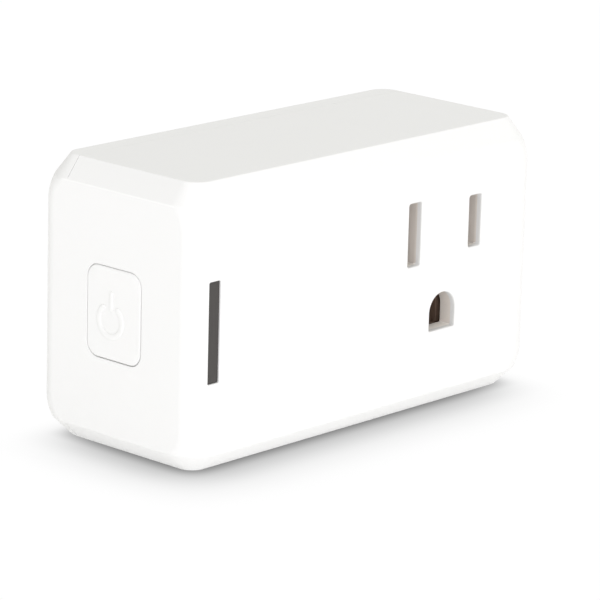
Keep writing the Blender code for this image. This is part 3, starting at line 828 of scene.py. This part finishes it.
class SMARTPLUG_OT_front_shell(bpy.types.Operator):
    """The white front shell with its socket, window and button openings"""

    bl_idname = "smart_plug.front_shell"
    bl_label = "Front shell"

    def execute(self, context):
        shell = housing_form("housing_front_shell")
        changes = less(housing_hollow("hollow"))
        changes += socket_changes()
        window = rectangle(WINDOW_WIDTH, WINDOW_HEIGHT, 0.22)
        changes += less(column("window", "front", (WINDOW_X, WINDOW_Z), window, mouth(0.1, 4)))
        button = rectangle(BUTTON_WIDTH, BUTTON_HEIGHT, BUTTON_CORNER, 8)
        changes += less(column("button", "end", (BUTTON_Y, BUTTON_Z), button, mouth(0.12, 3)))
        changes += less(*parted("behind"))
        changes += less(*seam_gaps())
        shaped(shell, *changes)
        polished(shell)
        settled(shell, shell_plastic(), "white_shell", "housing", "front_housing")
        # The socket walls get painted bounce light and shade.
        accent(shell, shell_mouth_painted_bounce(), in_socket)
        # The socket floors get painted light from above.
        accent(shell, shell_floor_painted_light(), on_socket_floor)
        # The end's crease gets a painted highlight.
        accent(shell, shell_edge_painted_highlight(), on_end_crease)
        return {"FINISHED"}


class SMARTPLUG_OT_rear_tray(bpy.types.Operator):
    """The white rear tray that closes the housing and holds the blades"""

    bl_idname = "smart_plug.rear_tray"
    bl_label = "Rear tray"

    def execute(self, context):
        tray = housing_form("housing_rear_tray")
        changes = less(housing_hollow("hollow"))
        changes += less(*parted("ahead", SEAM_OVERLAP))
        outer = LENGTH / 2 - size("wall") - LIP_OFFSET
        for side in (-1, 1):
            reach = sorted((side * (outer - LIP_WALL), side * outer))
            changes += plus(block("lip", reach, (WALL_SEAM - LIP_DEPTH, WALL_SEAM + 1.0), LIP_Z))
        for low, high in ((NEUTRAL_LOW, NEUTRAL_HIGH), (HOT_LOW, HOT_HIGH)):
            opening = rectangle(BLADE_THICKNESS + BLADE_PLAY, blade_width(low, high) + BLADE_PLAY, 0.2)
            middle = ((low.x + high.x) / 2, BLADE_Z)
            changes += less(column("blade", "back", middle, opening, mouth(0.2, 3)))
        round_hole = disc(PIN_RADIUS + PIN_PLAY)
        changes += less(column("pin", "back", (PIN_X, PIN_Z), round_hole, mouth(0.25, 3)))
        panel = rectangle(PANEL_WIDTH, PANEL_HEIGHT, 1.2)
        levels = [(0.1, -1), (0.1, -0.002), (0.04, 0.03), (0, 0.09), (0, 0.14)]
        changes += less(column("panel", "back", PANEL_MIDDLE, panel, levels))
        shaped(tray, *changes)
        split(tray, FRONT + size("band_seam") + SEAM_EDGE)
        polished(tray)
        settled(tray, bpy.data.materials["ABS_satin_moulded_white"], "white_shell", "housing", "rear_cover")
        # The tray's strip beside the seam gets the painted highlight.
        accent(tray, bpy.data.materials["ABS_moulded_insert_edge"], beside_seam)
        return {"FINISHED"}


class SMARTPLUG_OT_button(bpy.types.Operator):
    """The side button with its moulded power mark"""

    bl_idname = "smart_plug.button"
    bl_label = "Button"

    def execute(self, context):
        gap = size("button_gap")
        outline = rectangle(BUTTON_WIDTH - 2 * gap, BUTTON_HEIGHT - 2 * gap, BUTTON_CORNER - gap, 8)
        levels = [(-BUTTON_ROUNDING - 1.5, -BUTTON_PROUD), (-BUTTON_ROUNDING, -BUTTON_PROUD)]
        levels += [(-offset, depth - BUTTON_PROUD) for offset, depth in quarter(BUTTON_ROUNDING)]
        flange = CAP_HIGH.x - LEFT - 0.4
        step, shelf = size("button_step"), gap - 0.01
        levels += [(0, step), (shelf, step + 0.02), (shelf, flange - 1.02)]
        levels += [(1.0, flange - 1.0), (1.0, flange - 0.3), (-3.5, flange - 0.2), (-3.5, flange + 0.4)]
        cap = column("button_cap", "end", CAP_REST, outline, levels)
        polished(cap)
        plastic = bpy.data.materials["ABS_satin_moulded_white"]
        settled(cap, plastic, "white_shell", "button", "power_button")
        settled(polished(power_mark()), plastic, "white_shell", "button")
        return {"FINISHED"}


def bead_end(point, run, reach, steps=4):
    """(point, run, share of the width) from a bead's tip, which is a reach from the point, inwards."""
    made = []
    for step in range(steps):
        turn = math.pi / 2 * step / steps
        made.append((point + run * math.cos(turn) * reach, run, max(math.sin(turn), 0.05)))
    return made


def raised_line(path, width, height):
    """A moulded bead along a path on the button's face: a low rounded section with round ends."""
    points = [Vector(point) for point in path]
    runs = [(b - a).normalized() for a, b in zip(points, points[1:])]
    runs = [runs[0], *[(a + b).normalized() for a, b in zip(runs, runs[1:])], runs[-1]]
    stations = bead_end(points[0], runs[0], -width / 2)
    stations += [(point, run, 1.0) for point, run in zip(points, runs)]
    stations += reversed(bead_end(points[-1], runs[-1], width / 2))
    loops = []
    for point, run, share in stations:
        across = Vector((-run.y, run.x)) * width / 2 * share
        tall = height * min(1, share + 0.3)
        loop = []
        for side, rise in BEAD_SECTION:
            spot = point + across * side
            loop.append((LEFT - BUTTON_PROUD - max(rise, 0) * tall - min(rise, 0), spot.x, spot.y))
        loops.append(loop)
    return skin("bead", loops)


def power_mark():
    """A plain standby mark: a bar over a ring that is open at the top."""
    width, height = size("mark_stroke"), size("mark_height")
    top = math.pi / 2
    turns = (top + RING_OPENING, top - RING_OPENING + math.tau)
    mark = raised_line(arc(RING_Y, RING_Z, RING_RADIUS - width / 2, *turns, 48), width, height)
    bar = [(BAR_Y, BAR_TOP - step * BAR_STEP) for step in range(BAR_POINTS)]
    shaped(mark, *plus(raised_line(bar, width * 0.85, height)))
    mark.name = "button_power_mark"
    return mark


class SMARTPLUG_OT_window(bpy.types.Operator):
    """The smoked window over the status light"""

    bl_idname = "smart_plug.window"
    bl_label = "Window"

    def execute(self, context):
        recess = size("window_recess")
        outline = rectangle(WINDOW_WIDTH - 0.06, WINDOW_HEIGHT - 0.06, 0.2)
        deep = LENS_HIGH.y - FRONT
        levels = [(-0.5, recess), (-0.08, recess), (-0.02, recess + 0.03), (0, recess + 0.1), (0, deep)]
        # The lens is set into the shell's opening and held by a flange behind it.
        lens = column("window_lens", "front", (WINDOW_X, WINDOW_Z), outline, levels)
        low, high = LENS_LOW, LENS_HIGH
        flange = block("flange", (low.x, high.x), (high.y - 0.7, high.y), (low.z, high.z))
        shaped(lens, *plus(flange))
        polished(lens)
        settled(lens, window_plastic(), "smoked_lens", "housing", "indicator_window")
        return {"FINISHED"}


class SMARTPLUG_OT_blades(bpy.types.Operator):
    """The two brass blades and the ground pin"""

    bl_idname = "smart_plug.blades"
    bl_label = "Blades and pin"

    def execute(self, context):
        brass = blade_metal()
        for name, node_name in (("blade_neutral", "neutral_blade"), ("blade_hot", "hot_blade")):
            low, high = in_mm(node_name)
            settled(blade(name, low, high), brass, "blade_brass", "housing", node_name)
        settled(pin(), brass, "blade_brass", "housing", "ground_pin")
        return {"FINISHED"}


def blade_width(low, high):
    """A blade's width without its root flange."""
    return high.z - low.z - 2 * BLADE_SHOULDER


def blade(name, low, high):
    """A stamped blade: softened edges, a tip that narrows on all four sides, a hole and a root flange."""
    width, tip, x = blade_width(low, high), high.y, (low.x + high.x) / 2
    reach = BACK - tip
    levels = [(0, BACK - low.y - 0.2), *[(offset, reach + back) for offset, back in BLADE_TIP]]
    section = rectangle(BLADE_THICKNESS, width, 0.16, 3)
    body = column(name, "back", (x, BLADE_Z), section, levels)
    for end in (-1, 1):
        z = BLADE_Z + end * width / 2
        corner = [(tip - 1.6, z), (tip + 1, z), (tip + 1, z - end * 2.9), (tip, z - end * 1.1)]
        outline = softened(corner, (0.01, 0.01), 1)
        cutter = skin("tip", [[(x + side, y, height) for y, height in outline] for side in (-2, 2)])
        body = shaped(body, *less(cutter))
    loops = []
    for side, growth in HOLE_RIMS:
        ring = circle(HOLE_RADIUS + growth)
        loops.append([(x + side, tip - HOLE_FROM_TIP + u, BLADE_Z + v) for u, v in ring])
    changes = less(skin("hole", loops))
    changes += plus(block("flange", (low.x, high.x), (low.y, low.y + 1.2), (low.z, high.z)))
    return polished(shaped(body, *changes))


def pin():
    """The ground pin: a round bar with a rounded end and a root flange."""
    reach, foot = BACK - PIN_HIGH.y, BACK - PIN_LOW.y
    end_length, steps = 2.4, 8
    levels = []
    for step in range(steps + 1):
        turn = math.pi / 2 * step / steps
        offset = max(PIN_RADIUS * math.sin(turn), 0.02) - PIN_RADIUS
        levels.append((offset, reach + end_length * (1 - math.cos(turn))))
    flange = (PIN_HIGH.x - PIN_LOW.x) / 2 - PIN_RADIUS
    levels += [(0, foot - 1.25), (flange, foot - 1.2), (flange, foot), (-1.2, foot)]
    return polished(column("ground_pin_fine", "back", (PIN_X, PIN_Z), disc(PIN_RADIUS), levels))


class SMARTPLUG_OT_inner_parts(bpy.types.Operator):
    """Finishes for the parts inside the housing"""

    bl_idname = "smart_plug.inner_parts"
    bl_label = "Inner parts"

    def execute(self, context):
        finishes = inner_finishes()
        for slot_name, names in NODE_SLOTS.items():
            for name in names:
                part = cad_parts[name]
                part.data.materials.clear()
                part.data.materials.append(finishes[slot_name])
                weld = part.modifiers.new("weld", "WELD")
                weld.merge_threshold = 0.001 * MM
                soft = part.modifiers.new("edge", "BEVEL")
                soft.width = 0.06 * MM
                soft.segments = 2
                soft.limit_method = "ANGLE"
                soft.angle_limit = math.radians(40)
        return {"FINISHED"}


# The floor's drawn shadow: its layers, how far the last one is moved and blurred, and its darkness.
SHADOW_LAYERS = 5
SHADOW_SHIFT = (-7.2, -6.6)
SHADOW_BLUR = 2.7
SHADOW_BLUR_GROWTH = 15.5
SHADOW_MARGIN = 0.27
SHADOW_TONE = 0.27
DISPLAY_GAMMA = 2.2
# The stage, in metres, with the camera's focal length and sensor in millimetres.
SHEET_REACH = 6.0
FLOOR_ALBEDO = (0.9, 0.9, 0.9, 1)
SOFTBOX_PLACE = (-0.40, -0.50, 0.075)
CAMERA_PLACE = (-0.363985, -0.336232, 0.149562)
CAMERA_AIM = (0.000031, -0.001572, 0.015753)
CAMERA_ROLL = math.radians(1.529)
FOCAL_LENGTH = 221.981
SENSOR_WIDTH = 36


def falloff(tree, along, half, middle, blur):
    """One where a coordinate lies well inside half of its middle, fading to nothing over the blur."""
    away = calculated(tree, "ABSOLUTE", calculated(tree, "ADD", along, -middle * MM))
    edges = {"From Min": (half + blur) * MM, "From Max": (half - blur) * MM}
    inputs = {"Value": away, **edges, "To Min": 0, "To Max": 1}
    return node(tree, "MapRange", inputs, interpolation_type="SMOOTHSTEP").outputs["Result"]


def paper_sweep():
    """The white sheet under the object, with the soft shadow of its footprint.

    The shadow is drawn, not cast. It is the plug's own footprint in layers, each one moved a little further
    towards the front left, softer and fainter, as light from a wide source above and behind would leave it.
    """
    material, tree, place = blank("paper_sweep_matt_white")
    axes = node(tree, "SeparateXYZ", {"Vector": place}).outputs
    half_x = LENGTH / 2 - size("bottom_inset") + SHADOW_MARGIN
    half_y = BACK - size("bottom_inset") + SHADOW_MARGIN
    tone = 1.0
    for layer in range(SHADOW_LAYERS):
        share = layer / (SHADOW_LAYERS - 1)
        blur = SHADOW_BLUR + SHADOW_BLUR_GROWTH * share
        along = falloff(tree, axes["X"], half_x, SHADOW_SHIFT[0] * share, blur)
        across = falloff(tree, axes["Y"], half_y, SHADOW_SHIFT[1] * share, blur)
        dark = calculated(tree, "MULTIPLY", along, across)
        dark = calculated(tree, "MULTIPLY", dark, SHADOW_TONE * (1 - share))
        tone = calculated(tree, "SUBTRACT", tone, dark)
    # The layers are worked out in display tones, and the power turns them into light.
    light = calculated(tree, "POWER", tone, DISPLAY_GAMMA)
    glow = tint(tree, light, (0, 0, 0), (1, 1, 1))
    shade(tree, (0, 0, 0, 1), 0.95, Specular_IOR_Level=0.0, Emission_Strength=1.01)
    tree.links.new(glow, tree.nodes["Principled BSDF"].inputs["Emission Color"])
    return material


def sheet(name, height, material):
    """A large flat sheet of the stage, at a height given in millimetres."""
    shape = bmesh.new()
    bmesh.ops.create_grid(shape, x_segments=1, y_segments=1, size=SHEET_REACH)
    mesh = bpy.data.meshes.new(name)
    shape.to_mesh(mesh)
    shape.free()
    mesh.materials.append(material)
    obj = bpy.data.objects.new(name, mesh)
    obj.location.z = height * MM
    bpy.context.scene.collection.objects.link(obj)
    return obj


def light_room(context):
    """A pale room, brighter in front of the object than behind it."""
    world = bpy.data.worlds.new("studio")
    world.use_nodes = True
    tree = world.node_tree
    direction = node(tree, "TexCoord").outputs["Generated"]
    towards = node(tree, "SeparateXYZ", {"Vector": direction}).outputs["Y"]
    lit = {"Value": towards, "From Min": 0.2, "From Max": 1, "To Min": 1.175, "To Max": 0.5}
    strength = node(tree, "MapRange", lit).outputs["Result"]
    tree.links.new(strength, tree.nodes["Background"].inputs["Strength"])
    tree.nodes["Background"].inputs["Color"].default_value = (1, 0.998, 0.988, 1)
    context.scene.world = world


def place_softbox(context):
    """A wide cool lamp to the front and left, aimed at the object."""
    lamp = bpy.data.lights.new("softbox", "AREA")
    lamp.shape = "RECTANGLE"
    lamp.size = 0.5
    lamp.size_y = 0.25
    lamp.energy = 1.5
    lamp.color = (0.9, 0.885, 1.0)
    softbox = bpy.data.objects.new("softbox", lamp)
    softbox.location = SOFTBOX_PLACE
    softbox.rotation_euler = (-softbox.location).to_track_quat("-Z", "Y").to_euler()
    context.scene.collection.objects.link(softbox)


def place_camera(context):
    """A long lens from the front left, a little above the object, with the picture's colours left plain."""
    context.scene.view_settings.view_transform = "Standard"
    context.scene.view_settings.look = "None"
    lens = bpy.data.cameras.new("camera")
    lens.lens = FOCAL_LENGTH
    lens.sensor_width = SENSOR_WIDTH
    lens.clip_start = 0.01
    lens.clip_end = 20
    camera = bpy.data.objects.new("camera", lens)
    camera.location = CAMERA_PLACE
    camera.rotation_mode = "QUATERNION"
    level = (Vector(CAMERA_AIM) - camera.location).to_track_quat("-Z", "Y")
    camera.rotation_quaternion = level @ Matrix.Rotation(CAMERA_ROLL, 4, "Z").to_quaternion()
    context.scene.collection.objects.link(camera)
    context.scene.camera = camera


class SMARTPLUG_OT_stage(bpy.types.Operator):
    """The pale floor, the soft light and the camera"""

    bl_idname = "smart_plug.stage"
    bl_label = "Stage"

    def execute(self, context):
        floor = sheet("floor", -0.03, paper_sweep())
        floor.visible_diffuse = False
        floor.visible_glossy = False
        floor.visible_shadow = False

        material, tree, _ = blank("paper_sweep_matt_bounce")
        # The same sheet as the light bounces off it: even and a little brighter.
        shade(tree, FLOOR_ALBEDO, 0.95, Specular_IOR_Level=0.0, Emission_Strength=0.185)
        tree.nodes["Principled BSDF"].inputs["Emission Color"].default_value = (1, 1, 1, 1)
        bounce = sheet("bounce", -0.06, material)
        bounce.visible_camera = False

        light_room(context)
        place_softbox(context)
        place_camera(context)
        return {"FINISHED"}


STEPS = (
    SMARTPLUG_OT_front_shell,
    SMARTPLUG_OT_rear_tray,
    SMARTPLUG_OT_button,
    SMARTPLUG_OT_window,
    SMARTPLUG_OT_blades,
    SMARTPLUG_OT_inner_parts,
    SMARTPLUG_OT_stage,
)


class SMARTPLUG_PT_panel(bpy.types.Panel):
    """Lists the steps and the settings of the smart plug"""

    bl_label = "Smart plug"
    bl_idname = "SMARTPLUG_PT_panel"
    bl_space_type = "VIEW_3D"
    bl_region_type = "UI"
    bl_category = "Smart plug"

    def draw(self, context):
        for step in STEPS:
            self.layout.operator(step.bl_idname)
        for group in (context.scene.smart_plug.sizes, context.scene.smart_plug.colours):
            for name in group.bl_rna.properties.keys():
                if name not in ("rna_type", "name"):
                    self.layout.prop(group, name)


CLASSES = (PlugSizes, PlugColours, PlugSettings, *STEPS, SMARTPLUG_PT_panel)


def register():
    for item in CLASSES:
        bpy.utils.register_class(item)
    bpy.types.Scene.smart_plug = PointerProperty(type=PlugSettings)


def unregister():
    del bpy.types.Scene.smart_plug
    for item in reversed(CLASSES):
        bpy.utils.unregister_class(item)


def main():
    register()
    for step in STEPS:
        group, action = step.bl_idname.split(".")
        getattr(getattr(bpy.ops, group), action)()


if __name__ == "__main__":
    main()
